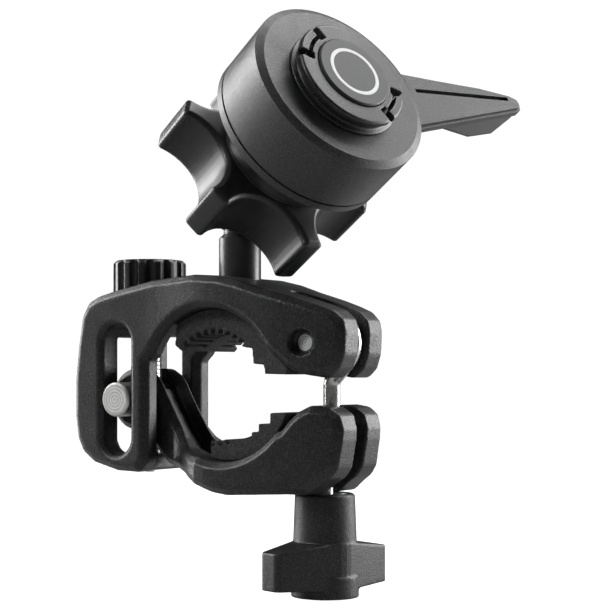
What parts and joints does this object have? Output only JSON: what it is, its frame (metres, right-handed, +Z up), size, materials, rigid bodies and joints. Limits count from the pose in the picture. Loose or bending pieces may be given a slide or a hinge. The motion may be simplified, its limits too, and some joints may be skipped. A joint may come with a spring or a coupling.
{
  "type": "phone mount",
  "caption": "Handlebar phone mount: hinged two-jaw clamp with swing bolt and knob, ball joint with lobed lock nut, and twist-lock head with sprung release sleeve and lever.",
  "frame": {"origin": "on the handlebar's axis, at the middle of the clamp's width", "axes": "+Y along the handlebar, +X from the bar towards the swing bolt, +Z up towards the ball joint and head"},
  "size_m": [0.0957, 0.0791, 0.1362],
  "materials": {
    "upper_jaw": "fine satin grain",
    "upper_pad": "moulded matte",
    "lower_jaw": "fine satin grain",
    "lower_pad": "moulded matte",
    "hinge_pin": "turned end faces",
    "thumbwheel": "fine satin grain",
    "adjuster_screw": "machined, lightly brushed",
    "retaining_clip": "machined, lightly brushed",
    "cross_pin": "machined, lightly brushed",
    "pivot_bush": "fine satin grain",
    "swing_bolt": "machined, lightly brushed",
    "thrust_washer": "machined, lightly brushed",
    "clamp_knob": "fine satin grain",
    "knob_insert": "machined",
    "knob_plug": "fine satin grain",
    "ball_post": "fine satin grain",
    "post_screw": "machined, lightly brushed",
    "ball_liner": "fine satin grain",
    "ball_seat": "fine satin grain",
    "head_collet": "fine satin grain",
    "slip_ring": "fine satin grain",
    "lock_nut": "fine satin grain",
    "head_hub": "fine satin grain",
    "release_spring": "machined, lightly brushed",
    "release_sleeve": "fine satin grain",
    "sleeve_back_ring": "fine satin grain",
    "lever_grip": "fine satin grain",
    "lock_puck": "fine satin grain",
    "puck_screw": "machined, lightly brushed",
    "badge_disc": "fine satin grain"
  },
  "bodies": {
    "clamp_body": {"upper_jaw": "upper_jaw", "upper_pad": "upper_pad", "ball_post": "ball_post", "post_screw": "post_screw", "cross_pin": "cross_pin"},
    "adjuster": {"thumbwheel": "thumbwheel", "adjuster_screw": "adjuster_screw", "retaining_clip": "retaining_clip"},
    "hinge_carriage": {"hinge_pin": "hinge_pin"},
    "lower_jaw_body": {"lower_jaw": "lower_jaw", "lower_pad": "lower_pad"},
    "swing": {"swing_bolt": "swing_bolt", "pivot_bush": "pivot_bush"},
    "knob_carriage": {"thrust_washer": "thrust_washer"},
    "knob": {"clamp_knob": "clamp_knob", "knob_insert": "knob_insert", "knob_plug": "knob_plug"},
    "ball_yaw": {"ball_liner": "ball_liner"},
    "ball_tilt": {"ball_seat": "ball_seat"},
    "head": {"head_collet": "head_collet", "head_hub": "head_hub", "release_spring": "release_spring", "lock_puck": "lock_puck", "puck_screw": "puck_screw", "badge_disc": "badge_disc"},
    "nut_carriage": {"slip_ring": "slip_ring"},
    "nut": {"lock_nut": "lock_nut"},
    "release": {"release_sleeve": "release_sleeve", "sleeve_back_ring": "sleeve_back_ring", "lever_grip": "lever_grip"}
  },
  "joints": [
    {"name": "adjuster_turn", "type": "hinge", "parent": "clamp_body", "child": "adjuster", "pos_m": [-0.028, 0, 0.026], "axis": [0, 0, -1], "range_deg": [0, 1441]},
    {"name": "hinge_lift", "type": "slide", "parent": "clamp_body", "child": "hinge_carriage", "axis": [0, 0, 1], "range_m": [0, 0.004]},
    {"name": "lower_jaw_open", "type": "hinge", "parent": "hinge_carriage", "child": "lower_jaw_body", "pos_m": [-0.028, 0, -0.0031], "axis": [0, 1, 0], "range_deg": [0, 8.1]},
    {"name": "bolt_swing", "type": "hinge", "parent": "clamp_body", "child": "swing", "pos_m": [0.0253, 0, 0.0105], "axis": [0, -1, 0], "range_deg": [0, 55]},
    {"name": "knob_travel", "type": "slide", "parent": "swing", "child": "knob_carriage", "axis": [0, 0, -1], "range_m": [0, 0.008]},
    {"name": "knob_turn", "type": "hinge", "parent": "knob_carriage", "child": "knob", "pos_m": [0.0244, 0, -0.036], "axis": [0, 0, -1], "range_deg": [0, 2305]},
    {"name": "ball_yaw", "type": "hinge", "parent": "clamp_body", "child": "ball_yaw", "pos_m": [0, 0, 0.0458], "axis": [0, 0, 1], "range_deg": [-25, 25]},
    {"name": "ball_tilt", "type": "hinge", "parent": "ball_yaw", "child": "ball_tilt", "pos_m": [0, 0, 0.0458], "axis": [-0.3173, -0.9483, 0], "range_deg": [0, 60]},
    {"name": "ball_spin", "type": "hinge", "parent": "ball_tilt", "child": "head", "pos_m": [0, 0, 0.0458], "axis": [0.8213, -0.2748, 0.5], "continuous": true},
    {"name": "nut_travel", "type": "slide", "parent": "head", "child": "nut_carriage", "axis": [-0.8213, 0.2748, -0.5], "range_m": [0, 0.001]},
    {"name": "nut_turn", "type": "hinge", "parent": "nut_carriage", "child": "nut", "pos_m": [0.00903, -0.00302, 0.0513], "axis": [-0.8213, 0.2748, -0.5], "range_deg": [0, 240.5]},
    {"name": "release_slide", "type": "slide", "parent": "head", "child": "release", "axis": [-0.8213, 0.2748, -0.5], "range_m": [0, 0.003], "stiffness_N_per_m": 1500, "springref_m": -0.002, "deforming": ["release_spring"]}
  ],
  "couplings": [
    {"joint": "adjuster_turn", "follows": "hinge_lift", "rad_per_m": 6283.2},
    {"joint": "knob_turn", "follows": "knob_travel", "rad_per_m": 5026.5},
    {"joint": "lower_jaw_open", "follows": "knob_travel", "rad_per_m": 17.391},
    {"joint": "nut_turn", "follows": "nut_travel", "rad_per_m": 4188.8}
  ]
}
